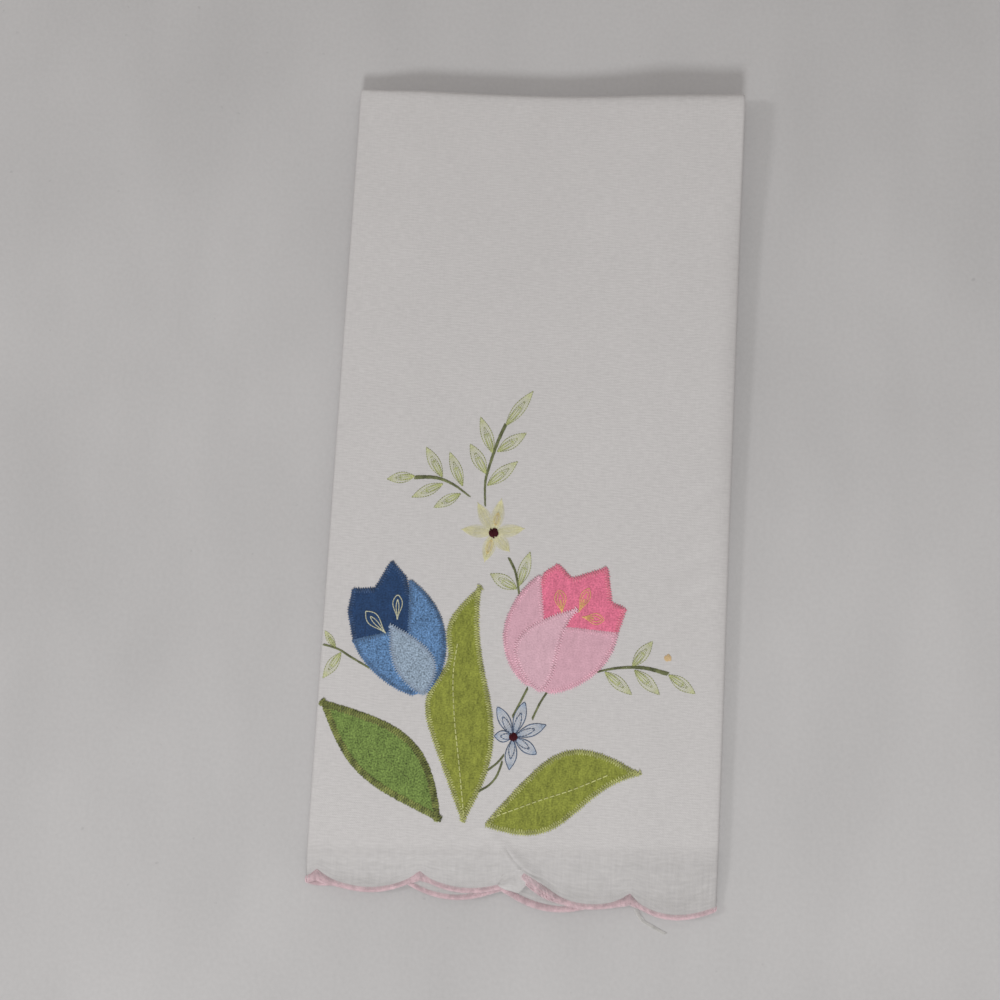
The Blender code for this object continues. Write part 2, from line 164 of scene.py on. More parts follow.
# Threads: colour, how uneven, radius in millimetres, and sheen where it isn't that of the others
THREADS = {
    "pink_thread": ((0.705, 0.525, 0.56), 0.3, 0.17),
    "olive_seam": ((0.47, 0.48, 0.19), 0.5, 0.14),
    "green_seam": ((0.25, 0.275, 0.075), 0.9, 0.14),
    "dark_seam": ((0.115, 0.125, 0.035), 1.1, 0.14),
    "dark_blue_thread": ((0.045, 0.095, 0.21), 0.6, 0.14),
    "mid_blue_thread": ((0.105, 0.19, 0.34), 0.8, 0.11),
    "light_blue_thread": ((0.4, 0.48, 0.6), 0.25, 0.11),
    "deep_pink_thread": ((0.82, 0.27, 0.37), 0.3, 0.14),
    "pale_pink_thread": ((0.88, 0.545, 0.64), 0.2, 0.11),
    "front_pink_thread": ((0.9, 0.6, 0.69), 0.2, 0.11),
    "stem_thread": ((0.165, 0.18, 0.08), 0.8, 0.14),
    "sprig_thread": ((0.32, 0.34, 0.145), 0.5, 0.11),
    "filling_thread": ((0.46, 0.5, 0.18), 0.4, 0.13),
    "shading_thread": ((0.585, 0.595, 0.365), 0.15, 0.13),
    "blue_petal_thread": ((0.09, 0.125, 0.21), 0.6, 0.15),
    "blue_shading_thread": ((0.42, 0.49, 0.6), 0.3, 0.13),
    "yellow_petal_thread": ((0.67, 0.635, 0.385), 0.15, 0.12),
    "pale_petal_thread": ((0.645, 0.615, 0.495), 0.15, 0.12),
    "yellow_accent_thread": ((0.73, 0.59, 0.27), 0.2, 0.11),
    "centre_thread": ((0.055, 0.002, 0.008), 0.4, 0.16, 0),
    "pale_stamen_thread": ((0.6, 0.6, 0.45), 0.3, 0.19),
    "yellow_stamen_thread": ((0.8, 0.5, 0.2), 0.3, 0.14),
    "vein_thread": ((0.56, 0.57, 0.23), 0.3, 0.23),
    "knot_thread": ((0.66, 0.49, 0.28), 0.2, 0.14),
    "tail_thread": ((0.72, 0.7, 0.67), 0.2, 0.07),
}

# The leaves: node, look, both tips, half width, bow to the left, sway, fullness, and depth and place of a
# tuck in the left side. Sizes are in panel millimetres.
LEAVES = [
    ("leaf_left", "green", (-68.5, -79.5), (-24.5, -117.5), 9.9, 2.3, 0.9, 1.04, 0, 0.5),
    ("leaf_middle", "olive", (-16.5, -117.5), (-15, -37.5), 11.7, 5.4, 3.1, 1, 8.2, 0.67),
    ("leaf_right", "olive", (-8.8, -118), (42.5, -98), 10.2, 3.9, 2.7, 0.92, 0, 0.5),
]
LEAF_TUCK_LENGTH = 0.13

# Each tulip stands on its base and leans from the panel's length. Heights are along its axis.
TULIPS = {
    "blue_tulip": {
        "base": (-34, -76),
        "lean": 15,
        "front": {"foot": 1.6, "tip": (-5, 26), "half_width": 6.9, "bow": 1.9, "fullness": 0.84},
        "left": {"width": 19.3, "widest": 27, "roundness": 0.68, "rim": 23.7, "tip": None},
        "right": {"width": 12.9, "widest": 20, "roundness": 0.5, "rim": 21.5, "tip": (4.8, 39.5)},
        "crown": [(-18.9, 33.5), (-15.8, 41), (-7.8, 39.5), (-0.3, 47.5), (3.6, 41)],
    },
    "pink_tulip": {
        "base": (7.4, -72.5),
        "lean": -17,
        "front": {"foot": -0.5, "tip": (2.5, 31), "half_width": 7.4, "bow": -7, "fullness": 0.72},
        "left": {"width": 19.3, "widest": 20, "roundness": 0.44, "rim": 23.7, "tip": (-13.6, 37.5)},
        "right": {"width": 18.4, "widest": 23, "roundness": 0.6, "rim": 23.9, "tip": (17.9, 27.9)},
        "crown": [(-12.5, 39), (-9, 43.3), (-2.9, 40.2), (7.3, 47.9), (12.6, 37), (18, 36.6)],
    },
}
# The looks of each tulip's heart, side petals and front petal
TULIP_LOOKS = {
    "blue_tulip": ("dark_blue", "mid_blue", "light_blue"),
    "pink_tulip": ("deep_pink", "pale_pink", "front_pink"),
}

# How petals close, and how finely outlines are drawn, in panel millimetres
PETAL_CLOSING = 2.2
TIP_WIDTH = 0.6
PETAL_FOOT = 0.7
LEAF_SECTIONS = 60
PETAL_SECTIONS = 44
HEART_SECTIONS = 44
LEAST_SECTION = 0.25
SEARCH_STEP = 0.1
UNDERLAP = 1
HEART_UNDERLAP = 9

# Appliquéd cloth, in millimetres: its thickness, how its edge rounds off, and what lies on what
PATCH = 0.35
EDGE_DROP = 0.14
EDGE_ROUND = 0.9
SIDE_LIFT = 0.1
FRONT_LIFT = 0.2
PATCH_COLUMNS = [0, 0.015, 0.04, 0.08, 0.14, 0.22, 0.32, 0.44, 0.56, 0.68, 0.78, 0.86, 0.92, 0.96, 0.985, 1]

# Threads and stitches, in millimetres
FINE_THREAD = 0.11
PATCH_TOP = PATCH + 0.03
SEAM_PITCH = 0.86
SEAM_INSIDE = 1.5
SEAM_OUTSIDE = 0.45
SEAM_RISE = 0.12
SEAM_CREST = 0.6
SEAM_END = 0.06
UNEVEN_INSIDE = 0.5
UNEVEN_OUTSIDE = 0.3
WIDE_SEAM = 1.9
UNDER_SEAM = 0.08
SATIN_PITCH = 0.26
SATIN_HEIGHT = 0.22
SATIN_SLANT = 0.35
SATIN_UNEVEN = 0.12
SATIN_SIDES = (-1, -0.6, 0, 0.6, 1)
STITCH_RISE = 0.08
DOT_PITCH = 0.2
DOT_SIDES = (-1, -0.5, 0, 0.5, 1)
DOT_ENDS = 0.97
DOT_UNEVEN = 0.5
CURVE_STEPS = 6
DROP_SECTIONS = 22
FILLING_STEPS = 8
FILLING_START = 0.04
FILLING_SHORTER = 0.1


def ease(low, high, value):
    """0 below low and 1 above high, with a soft start and end."""
    part = min(max((value - low) / (high - low), 0), 1)
    return part * part * (3 - 2 * part)


def mix(first, second, part):
    return first + (second - first) * part


def parts(count):
    """The ends of this many even parts, from 0 to 1."""
    return [index / count for index in range(count + 1)]


def bowed(part, bow):
    return 4 * bow * part * (1 - part)


def bell(off, left, right=None):
    """A bump that is 1 in its middle, with a width of its own on each side."""
    width = left if off < 0 else right or left
    return exp(-((off / width) ** 2))


# The fold


def half_stack(across):
    climbs = ease(*RIGHT_FLAP_CLIMB, across) * (1 - ease(*LEFT_FLAP_FALL, across))
    return mix(TWO_LAYERS, THREE_LAYERS, climbs)


def loop_inside(across):
    return mix(LOOP_LEFT, LOOP_RIGHT, ease(*LOOP_OPENS, across))


def loop_centre(across):
    from_middle = across / PANEL_WIDTH * 2 - 1
    dip = TOP_DIP * (1 - from_middle**2)
    outer_radius = loop_inside(across) + LAYER_GAP / 2 + half_stack(across)
    return TOP_Y - HEM_Y - dip - outer_radius


def back_end(across):
    return mix(BACK_END_LEFT, BACK_END_RIGHT, across / PANEL_WIDTH)


def opened(across, up):
    return 2 * loop_inside(across) * (max(up, 0) / loop_centre(across)) ** LOOP_RISE


def settle(across, up):
    sinking = min(SETTLE_LEAST + SETTLE_SHARE * opened(across, up), SETTLE_MOST)
    near_fold = max(1 - (PANEL_WIDTH - across) / SETTLE_REACH, 0) ** SETTLE_POWER
    below_loop = 1 - ease(loop_centre(across) - SETTLE_FADE, loop_centre(across), up)
    return sinking * near_fold * below_loop * ease(0, HEM_BAND, up)


def front_height(across, up, depth):
    lying = half_stack(across) + LAYER_GAP + depth + opened(across, up) - settle(across, up)
    drooping = HEM_CLEARANCE + depth
    return mix(drooping, lying, ease(-DROOP_SHORT, back_end(across) - DROOP_SHORT, up))


def hem_pull(across, up):
    drawn = 0
    for at, drawn_up, left, right in HEM_PULLS:
        drawn += drawn_up * MM * bell(across / MM - at, left, right)
    return drawn * (1 - ease(0, PULL_REACH, up))


def flap_shift(across, up, layer):
    if layer == "left_flap":
        fold, lift, skew = 0, LEFT_FLAP_LIFT, LEFT_FLAP_SKEW
    else:
        fold, lift, skew = PANEL_WIDTH, RIGHT_FLAP_LIFT, 0
    from_fold = abs(across - fold)
    shift = lift * ease(0, LIFT_REACH, from_fold) - skew * from_fold
    carried = hem_pull(fold, up) * (1 - ease(0, LIFT_REACH, from_fold))
    return shift * (1 - ease(HEM_BAND, 2 * HEM_BAND, up)) + carried


def ridge(across, up):
    crest = RIDGE_X + RIDGE_SLANT * max(up, 0)
    return RIDGE_HEIGHT * bell(across - crest, RIDGE_WIDTH) * (1 - ease(*RIDGE_FADES, up))


def crease_height(x, y, start, end, bow, left, right, height):
    """Height of one crease over this place, in millimetres, tapered towards both of its ends."""
    run_x, run_y = end[0] - start[0], end[1] - start[1]
    length = hypot(run_x, run_y)
    part = ((x - start[0]) * run_x + (y - start[1]) * run_y) / length**2
    if not 0 < part < 1:
        return 0
    off = ((x - start[0]) * run_y - (y - start[1]) * run_x) / length + bowed(part, bow)
    taper = ease(0, CREASE_TAPER, part) * ease(0, CREASE_TAPER, 1 - part)
    return height * taper * bell(off, left, right)


def relief(across, up):
    """Height of the panel's soft waves and creases, none at its folds."""
    x = across / MM - PANEL_WIDTH / MM / 2
    y = (up + HEM_Y) / MM
    height = sum(crease_height(x, y, *crease) for crease in CREASES)
    for wave_height, length_x, length_y, place in WAVES:
        height += wave_height * noise.noise(Vector((x / length_x, y / length_y, place)))
    from_side = min(across, PANEL_WIDTH - across)
    from_top = loop_centre(across) - up
    return height * MM * ease(*FLAT_BY_FOLD, from_side) * ease(0, FLAT_BY_LOOP, from_top)


def across_section(cut):
    """Place across the fold, depth from its inside, and layer of a point of the cloth's width."""
    if cut < FLAP_END:
        across = LEFT_FLAP - cut
        return across, CLOTH / 2 + PITCH * ease(*RIGHT_FLAP_CLIMB, across), "left_flap"
    if cut < PANEL_START:
        turn = pi * (cut - FLAP_END) / FOLD_ARC
        return FOLD_EDGE - BEND * sin(turn), FOLD_EDGE - BEND * cos(turn), "panel"
    if cut <= PANEL_END:
        across = FOLD_EDGE + cut - PANEL_START
        return across, half_stack(across) - CLOTH / 2, "panel"
    if cut < PANEL_END + FOLD_ARC:
        turn = pi * (cut - PANEL_END) / FOLD_ARC
        across = PANEL_WIDTH - FOLD_EDGE + BEND * sin(turn)
        return across, FOLD_EDGE + BEND * cos(turn), "panel"
    return PANEL_WIDTH - FOLD_EDGE - (cut - PANEL_END - FOLD_ARC), CLOTH / 2, "right_flap"


def front_point(cut, up):
    across, depth, layer = across_section(cut)
    raised = 0
    if layer == "panel":
        up += hem_pull(across, up)
        raised = ridge(across, up) + relief(across, up)
    else:
        up += flap_shift(across, up, layer)
    return Vector((across - PANEL_WIDTH / 2, HEM_Y + up, front_height(across, up, depth) + raised))


def loop_point(cut, turn):
    across, depth, _ = across_section(cut)
    radius = loop_inside(across) + LAYER_GAP / 2 + depth
    middle = half_stack(across) + LAYER_GAP / 2 + loop_inside(across)
    angle = pi * (0.5 - turn)
    outward = abs(cos(angle)) ** (2 / LOOP_SQUARENESS)
    upward = copysign(abs(sin(angle)) ** (2 / LOOP_SQUARENESS), sin(angle))
    along = HEM_Y + loop_centre(across) + radius * outward
    return Vector((across - PANEL_WIDTH / 2, along, middle + radius * upward))


def back_point(cut, part):
    across, depth, _ = across_section(cut)
    along = HEM_Y + mix(loop_centre(across), back_end(across), part)
    return Vector((across - PANEL_WIDTH / 2, along, half_stack(across) - depth))


def scallop(cut):
    part = (cut / SCALLOP_PITCH) % 1
    return -4 * SCALLOP_DEPTH * part * (1 - part)


def cloth_edge(cut):
    return scallop(cut) + EDGING_WIDTH / 2


def panel_depth(across):
    """Depth of the panel's middle surface, also where it bends round a side fold."""
    into_bend = FOLD_EDGE - min(across, PANEL_WIDTH - across)
    if into_bend > 0:
        return FOLD_EDGE + sqrt(max(BEND**2 - into_bend**2, 0))
    return half_stack(across) - CLOTH / 2


def on_panel(x, y, lift=0):
    """The point over this place of the panel, lifted from its upper face, all in millimetres."""
    across = x * MM + PANEL_WIDTH / 2
    up = y * MM - HEM_Y
    height = front_height(across, up, panel_depth(across)) + ridge(across, up) + relief(across, up)
    return Vector((x * MM, y * MM, height + SEEN_CLOTH / 2 + lift * MM))


# Meshes


def put_in_scene(name, data):
    made = bpy.data.objects.new(name, data)
    bpy.context.scene.collection.objects.link(made)
    return made


def steps(start, end, step):
    """Even steps of about this length from start to just before end."""
    count = max(1, round((end - start) / step))
    return [mix(start, end, part) for part in parts(count)[:-1]]


def cloth_columns():
    fine_start, fine_end = (PANEL_START - FOLD_EDGE + across for across in FINE_PART)
    return (
        steps(0, FLAP_END, FLAP_STEP)
        + steps(FLAP_END, PANEL_START, FOLD_ARC / BEND_STEPS)
        + steps(PANEL_START, fine_start, PANEL_STEP)
        + steps(fine_start, fine_end, FINE_STEP)
        + steps(fine_end, PANEL_END, PANEL_STEP)
        + steps(PANEL_END, PANEL_END + FOLD_ARC, FOLD_ARC / BEND_STEPS)
        + steps(PANEL_END + FOLD_ARC, TOWEL_WIDTH, FLAP_STEP)
        + [TOWEL_WIDTH]
    )


def front_row(part):
    """A row of the front half, from 0 at the hem's band to 1 at the loop."""
    return lambda cut: front_point(cut, mix(HEM_BAND, loop_centre(across_section(cut)[0]), part))


def hem_row(part):
    return lambda cut: front_point(cut, mix(cloth_edge(cut), HEM_BAND, part))


def cloth_rows():
    rows = [hem_row(part) for part in parts(HEM_STEPS)[:-1]]
    rows += [front_row(LOWER_SHARE * index / LOWER_STEPS) for index in range(LOWER_STEPS)]
    rows += [front_row(mix(LOWER_SHARE, 1, part)) for part in parts(FRONT_STEPS)[:-1]]
    rows += [lambda cut, turn=turn: loop_point(cut, turn) for turn in parts(LOOP_STEPS)]
    rows += [lambda cut, part=part: back_point(cut, part) for part in parts(BACK_STEPS)[1:]]
    return rows


def make_sheet(name, columns, rows, thickness, material):
    """A grid with each point placed by its row's function of its column, thickened to a sheet."""
    places = [[row(column) for column in columns] for row in rows]
    grid = bmesh.new()
    bmesh.ops.create_grid(grid, x_segments=len(columns) - 1, y_segments=len(rows) - 1, size=1)
    along = [0]
    for low, high in zip(places, places[1:]):
        along.append(along[-1] + (high[len(high) // 2] - low[len(low) // 2]).length)
    spots = {}
    for point in grid.verts:
        column = round((point.co.x + 1) / 2 * (len(columns) - 1))
        row = round((point.co.y + 1) / 2 * (len(rows) - 1))
        point.co = places[row][column]
        spots[point] = (columns[column], along[row])
    flat = grid.loops.layers.uv.new("flat")
    for face in grid.faces:
        for corner in face.loops:
            corner[flat].uv = spots[corner.vert]
    mesh = bpy.data.meshes.new(name)
    grid.to_mesh(mesh)
    grid.free()
    mesh.materials.append(material)
    mesh.shade_smooth()
    sheet = put_in_scene(name, mesh)
    solid = sheet.modifiers.new("thickness", "SOLIDIFY")
    solid.thickness = thickness
    solid.offset = 0
    return sheet


# Materials


def add(tree, kind, inputs, **settings):
    made = tree.nodes.new(kind)
    for key, value in settings.items():
        setattr(made, key, value)
    for key, value in inputs.items():
        if isinstance(value, bpy.types.NodeSocket):
            tree.links.new(value, made.inputs[key])
        else:
            made.inputs[key].default_value = value
    return made


def calculate(tree, operation, *values):
    return add(tree, "ShaderNodeMath", dict(enumerate(values)), operation=operation).outputs[0]


def spread_out(tree, value, low, high):
    """The values from low to high, spread from 0 to 1."""
    inputs = {"Value": value, "From Min": low, "From Max": high}
    return add(tree, "ShaderNodeMapRange", inputs).outputs["Result"]


def stretched_noise(tree, vector, scale, detail=2, low=0.3, high=0.7):
    """Noise with its own scale along each axis, in features a metre, spread from 0 to 1."""
    scaled = add(tree, "ShaderNodeVectorMath", {0: vector, 1: scale}, operation="MULTIPLY")
    made = add(tree, "ShaderNodeTexNoise", {"Vector": scaled.outputs[0], "Scale": 1, "Detail": detail})
    return spread_out(tree, made.outputs["Fac"], low, high)


def weave_bands(tree, vector, direction):
    """Bands across one axis, from -0.5 to 0.5. At scale 1 a wave's bands lie pi / 10 apart."""
    in_mm = add(tree, "ShaderNodeVectorMath", {0: vector, "Scale": 1 / MM}, operation="SCALE")
    inputs = {"Vector": in_mm.outputs[0], "Scale": pi / 10 / WEAVE_PITCH}
    made = add(tree, "ShaderNodeTexWave", inputs, wave_type="BANDS", bands_direction=direction)
    return calculate(tree, "SUBTRACT", made.outputs["Fac"], 0.5)


def object_place(tree):
    return add(tree, "ShaderNodeTexCoord", {}).outputs["Object"]


def plain_material(name, roughness=0.9, sheen=0.0):
    material = bpy.data.materials.new(name)
    material.use_nodes = True
    shader = material.node_tree.nodes["Principled BSDF"]
    shader.inputs["Roughness"].default_value = roughness
    shader.inputs["Sheen Weight"].default_value = sheen
    shader.inputs["Specular IOR Level"].default_value = 0.25
    return material, material.node_tree, shader


def varied(tree, textures):
    """1 plus each texture's distance from its middle times its weight."""
    total = 1
    for texture, weight in textures:
        total = calculate(tree, "MULTIPLY_ADD", texture, weight, total)
        total = calculate(tree, "SUBTRACT", total, weight / 2)
    return total


def finish_shader(tree, shader, colour, factor, height=None, strength=0.0, distance=0.0):
    """Give the shader its colour times a texture's factor, and its bump, with the distance in mm."""
    tint = add(tree, "ShaderNodeVectorMath", {0: colour, "Scale": factor}, operation="SCALE")
    tree.links.new(tint.outputs[0], shader.inputs["Base Color"])
    if height:
        inputs = {"Height": height, "Strength": strength, "Distance": distance * MM}
        bump = add(tree, "ShaderNodeBump", inputs)
        tree.links.new(bump.outputs["Normal"], shader.inputs["Normal"])


def white_cloth(name, painted_shade):
    """Thin plain weave with slubs, and painted shade where nothing but the floor lies behind the thin hem.
    """
    material, tree, shader = plain_material(name, sheen=0.15)
    flat = add(tree, "ShaderNodeUVMap", {}, uv_map="flat").outputs["UV"]
    weft = stretched_noise(tree, flat, (330, 2000, 1), detail=1)
    warp = stretched_noise(tree, flat, (1500, 300, 1), detail=1)
    patches = stretched_noise(tree, flat, (60, 45, 1))
    factor = varied(tree, [(weft, 0.085), (warp, 0.04), (patches, 0.02)])
    # The open hem lies below the hidden end of the back half, which runs askew
    axes = add(tree, "ShaderNodeSeparateXYZ", {0: object_place(tree)})
    slope = (BACK_END_RIGHT - BACK_END_LEFT) / PANEL_WIDTH
    middle = HEM_Y + (BACK_END_LEFT + BACK_END_RIGHT) / 2
    line = calculate(tree, "MULTIPLY_ADD", axes.outputs["X"], slope, middle)
    below = calculate(tree, "SUBTRACT", line, axes.outputs["Y"])
    # Painted shade: below that line the cloth is darkened and its weave shows more, for the light it lets
    # through
    painted_shade_mask = spread_out(tree, below, *PAINTED_SHADE_START)
    open_weft = stretched_noise(tree, flat, (150, 1100, 1), detail=1)
    open_warp = stretched_noise(tree, flat, (1100, 150, 1), detail=1)
    painted_open_factor = varied(tree, [(open_weft, 0.07), (open_warp, 0.06)])
    painted_open_factor = calculate(tree, "MULTIPLY", painted_open_factor, painted_shade)
    painted_shade_factor = calculate(tree, "MULTIPLY_ADD", painted_shade_mask, calculate(tree, "SUBTRACT", painted_open_factor, 1), 1)
    factor = calculate(tree, "MULTIPLY", factor, painted_shade_factor)
    checks = calculate(tree, "MULTIPLY", *(weave_bands(tree, flat, axis) for axis in "XY"))
    height = calculate(tree, "MULTIPLY_ADD", weft, 0.7, checks)
    finish_shader(tree, shader, WHITE, factor, height, strength=0.5, distance=0.08)
    return material


def patch_cloth(name, colour, mottle, speckle):
    """Appliquéd cloth: mottled, with fine fibres that run up the panel."""
    material, tree, shader = plain_material(name, sheen=0.2)
    place = object_place(tree)
    clouds = stretched_noise(tree, place, (420, 170, 1))
    fibres = stretched_noise(tree, place, (1300, 450, 1), detail=3)
    specks = stretched_noise(tree, place, (1700, 1700, 1), detail=1)
    factor = varied(tree, [(clouds, mottle), (fibres, mottle), (specks, speckle)])
    height = calculate(tree, "ADD", fibres, specks)
    finish_shader(tree, shader, colour, factor, height, strength=0.6, distance=0.12)
    return material


def thread_material(name, colour, variation, sheen=0.2):
    material, tree, shader = plain_material(name, roughness=0.7, sheen=sheen)
    place = object_place(tree)
    shades = stretched_noise(tree, place, (420, 420, 420), detail=1)
    twist = stretched_noise(tree, place, (2600, 2600, 2600), detail=1)
    factor = varied(tree, [(shades, variation), (twist, variation / 2)])
    finish_shader(tree, shader, colour, factor, twist, strength=0.5, distance=0.05)
    return material


cloths = {look: patch_cloth(look + "_cloth", *values) for look, values in CLOTHS.items()}
threads = {
    name: thread_material(name, colour, variation, *sheen)
    for name, (colour, variation, _, *sheen) in THREADS.items()
}

# Places on the panel


def span(start, end):
    """Length and heading of the straight way between two places."""
    return dist(start, end), atan2(end[1] - start[1], end[0] - start[0])


def between(start, end, part):
    """The place at this part of the way from one place to another."""
    return mix(start[0], end[0], part), mix(start[1], end[1], part)


def turned(base, heading, along, aside):
    """The panel place this far along a heading and to its left."""
    x = base[0] + along * cos(heading) - aside * sin(heading)
    y = base[1] + along * sin(heading) + aside * cos(heading)
    return x, y


def drop(part, half_width, fullness):
    """Half the width of a leaf or petal at this part of its length."""
    return half_width * sin(pi * part**fullness)


def curved(path):
    """A smooth curve through the places of a path."""
    ends = [path[0]] + path + [path[-1]]
    found = []
    for before, start, end, after in zip(ends, ends[1:], ends[2:], ends[3:]):
        for part in parts(CURVE_STEPS)[:-1]:
            blend = ease(0, 1, part)
            leaving = part * (1 - part) ** 2 / 2
            arriving = part * part * (1 - part) / 2
            found.append(
                tuple(
                    mix(start[axis], end[axis], blend)
                    + leaving * (end[axis] - before[axis])
                    - arriving * (after[axis] - start[axis])
                    for axis in range(2)
                )
            )
    return found + [path[-1]]


def resample(path, step):
    """Evenly spaced places along a path, each with the direction it runs in."""
    runs = [dist(a, b) for a, b in zip(path, path[1:])]
    length = sum(runs)
    count = max(1, round(length / step))
    found = []
    index, passed = 0, 0
    for number in range(count + 1):
        wanted = length * number / count
        while index < len(runs) - 1 and passed + runs[index] < wanted:
            passed += runs[index]
            index += 1
        start, end = path[index], path[index + 1]
        run = runs[index] or 1
        spot = between(start, end, (wanted - passed) / run)
        found.append((*spot, (end[0] - start[0]) / run, (end[1] - start[1]) / run))
    return found


def evenly(path, count):
    """This many even steps along the smooth curve through a path's places."""
    smooth = curved(path)
    length = sum(dist(a, b) for a, b in zip(smooth, smooth[1:]))
    return [spot[:2] for spot in resample(smooth, length / count)]


def uneven(x, y, amount):
    """A number around 0 that changes from stitch to stitch."""
    return amount * noise.noise(Vector((x * 2.3, y * 2.3, 1.7)))


# Stitches. Paths are lists of panel places, and strands are lists of points.


def seam(path, top, ground=0.0, inside=SEAM_INSIDE, outside=SEAM_OUTSIDE, flipped=0):
    """Zigzag stitches over an edge, with the piece on the left of its path."""
    strands = []
    spots = resample(path, SEAM_PITCH / 2)
    for index, pair in enumerate(zip(spots, spots[1:]), flipped):
        inner, outer = pair if index % 2 else pair[::-1]
        reach = inside + uneven(inner[0], inner[1], UNEVEN_INSIDE)
        over = outside + uneven(outer[1], outer[0], UNEVEN_OUTSIDE)
        start = (inner[0] - inner[3] * reach, inner[1] + inner[2] * reach)
        end = (outer[0] + outer[3] * over, outer[1] - outer[2] * over)
        crest = between(start, end, SEAM_CREST)
        heights = (top, top + SEAM_RISE, ground + SEAM_END)
        strands.append([on_panel(*place, height) for place, height in zip((start, crest, end), heights)])
    return strands


def satin(path, start_width, end_width):
    """Threads laid side by side across a smooth curve, as wide as a cord."""
    spots = resample(curved(path), SATIN_PITCH)
    strands = []
    for index, (x, y, run_x, run_y) in enumerate(spots):
        half = mix(start_width, end_width, index / (len(spots) - 1)) / 2 + uneven(x, y, SATIN_UNEVEN)
        strand = []
        for side in SATIN_SIDES:
            over_x = x - run_y * half * side + run_x * SATIN_SLANT * side
            over_y = y + run_x * half * side + run_y * SATIN_SLANT * side
            strand.append(on_panel(over_x, over_y, SATIN_HEIGHT * sqrt(1 - side * side)))
        strands.append(strand)
    return strands


def backstitch(path, stitch=1.3, gap=0.12, lift=0.04):
    """Short stitches along a path, each bowed up a little."""
    strands = []
    spots = resample(path, stitch)
    for first, second in zip(spots, spots[1:]):
        strand = []
        for part, rise in ((gap, 0), (0.5, STITCH_RISE), (1 - gap, 0)):
            strand.append(on_panel(*between(first, second, part), lift + rise))
        strands.append(strand)
    return strands


def drop_path(base, tip, half_width, fullness=1.0, reach=1.0):
    """The outline of a leaf or petal, from its base round its tip and back."""
    length, heading = span(base, tip)
    sections = parts(DROP_SECTIONS)
    path = []
    for side, ordered in ((1, sections), (-1, sections[::-1])):
        for part in ordered:
            off = side * drop(part, half_width, fullness)
            path.append(turned(base, heading, part * length * reach, off))
    return path


def filled_petal(base, tip, half_width, count, lift=0.05, fullness=0.9, height=0.12):
    """Long stitches side by side that fill a petal."""
    length, heading = span(base, tip)
    strands = []
    for number in range(count):
        spread = number / (count - 1) * 2 - 1
        strand = []
        for share in parts(FILLING_STEPS):
            part = mix(FILLING_START, 1 - FILLING_SHORTER * abs(spread), share)
            place = turned(base, heading, part * length, spread * drop(part, half_width, fullness))
            strand.append(on_panel(*place, lift + height * (1 - spread**2)))
        strands.append(strand)
    return strands


def dot(centre, radius, lift, height, angle=0.4):
    """A satin-stitched knot with uneven, rounded corners."""
    strands = []
    count = max(3, round(2 * radius / DOT_PITCH))
    for index in range(count + 1):
        along = 2 * radius * index / count
        share = min(abs(along / radius - 1), DOT_ENDS)
        half = radius * (1 - share**3) ** (1 / 3) * (1 + uneven(along * 3, radius, DOT_UNEVEN))
        strand = []
        for side in DOT_SIDES:
            up = lift + height * sqrt(1 - side * side) * half / radius
            strand.append(on_panel(*turned(centre, angle, along - radius, half * side), up))
        strands.append(strand)
    return strands


# Appliquéd pieces


def leaf_rows(length, half_width, bow, sway, fullness, tuck, tuck_at):
    rows = []
    for part in parts(LEAF_SECTIONS):
        half = max(drop(part, half_width, fullness), TIP_WIDTH / 2)
        middle = bowed(part, bow) - sway * sin(2 * pi * part)
        tucked = tuck * bell(part - tuck_at, LEAF_TUCK_LENGTH)
        rows.append((part * length, middle - half, middle + half - tucked))
    return rows


def front_sides(front, up):
    tip_across, tip_up = front["tip"]
    if up > tip_up:
        return None
    part = max(up, 0) / tip_up
    middle = mix(front["foot"], tip_across, part) + bowed(part, front["bow"])
    half = max(drop(part, front["half_width"], front["fullness"]), TIP_WIDTH / 2)
    return middle - half, middle + half


def outer_side(petal, up):
    if up <= petal["widest"]:
        return petal["width"] * sin(pi / 2 * up / petal["widest"]) ** petal["roundness"]
    if petal["tip"] is None:
        return petal["width"]
    part = (up - petal["widest"]) / (petal["tip"][1] - petal["widest"])
    return mix(petal["width"], abs(petal["tip"][0]) + TIP_WIDTH / 2, min(part, 1) ** PETAL_CLOSING)


def side_petal_sides(tulip, side, up):
    petal = tulip[side]
    left = side == "left"
    top = petal["tip"][1] if petal["tip"] else petal["rim"]
    if up > top:
        return None
    inner = front_sides(tulip["front"], min(up, petal["rim"]))[0 if left else 1]
    if up > petal["rim"]:
        tip_inner = petal["tip"][0] + (TIP_WIDTH if left else -TIP_WIDTH) / 2
        inner = mix(inner, tip_inner, (up - petal["rim"]) / (top - petal["rim"]))
    outer = outer_side(petal, up)
    return (-outer, inner) if left else (inner, outer)


def petals_top(tulip, across):
    """Height up to which the petals of a tulip cover this place across it."""
    up = max(petal["tip"][1] for petal in (tulip["left"], tulip["right"], tulip["front"]) if petal["tip"])
    while up > 0:
        petals = [side_petal_sides(tulip, side, up) for side in ("left", "right")]
        petals.append(front_sides(tulip["front"], up))
        if any(sides and sides[0] <= across <= sides[1] for sides in petals):
            return up
        up -= SEARCH_STEP
    return 0


def crown_height(crown, across):
    for (low, start), (high, end) in zip(crown, crown[1:]):
        if across <= high:
            return mix(start, end, (across - low) / (high - low))
    return crown[-1][1]


def heart_rows(tulip):
    """Rows of the place across a tulip and its heart's lower edge, under the petals, and upper edge."""
    crown = tulip["crown"]
    first, last = crown[0][0], crown[-1][0]
    spread = [mix(first, last, part) for part in parts(HEART_SECTIONS)]
    points = [across for across, _ in crown[1:-1]]
    places = [across for across in spread if min(abs(across - point) for point in points) > LEAST_SECTION]
    rows = []
    for across in sorted(places + points):
        covered = mix(UNDERLAP, HEART_UNDERLAP, ease(0, HEART_UNDERLAP, min(across - first, last - across)))
        rows.append((across, petals_top(tulip, across) - covered, crown_height(crown, across)))
    return rows


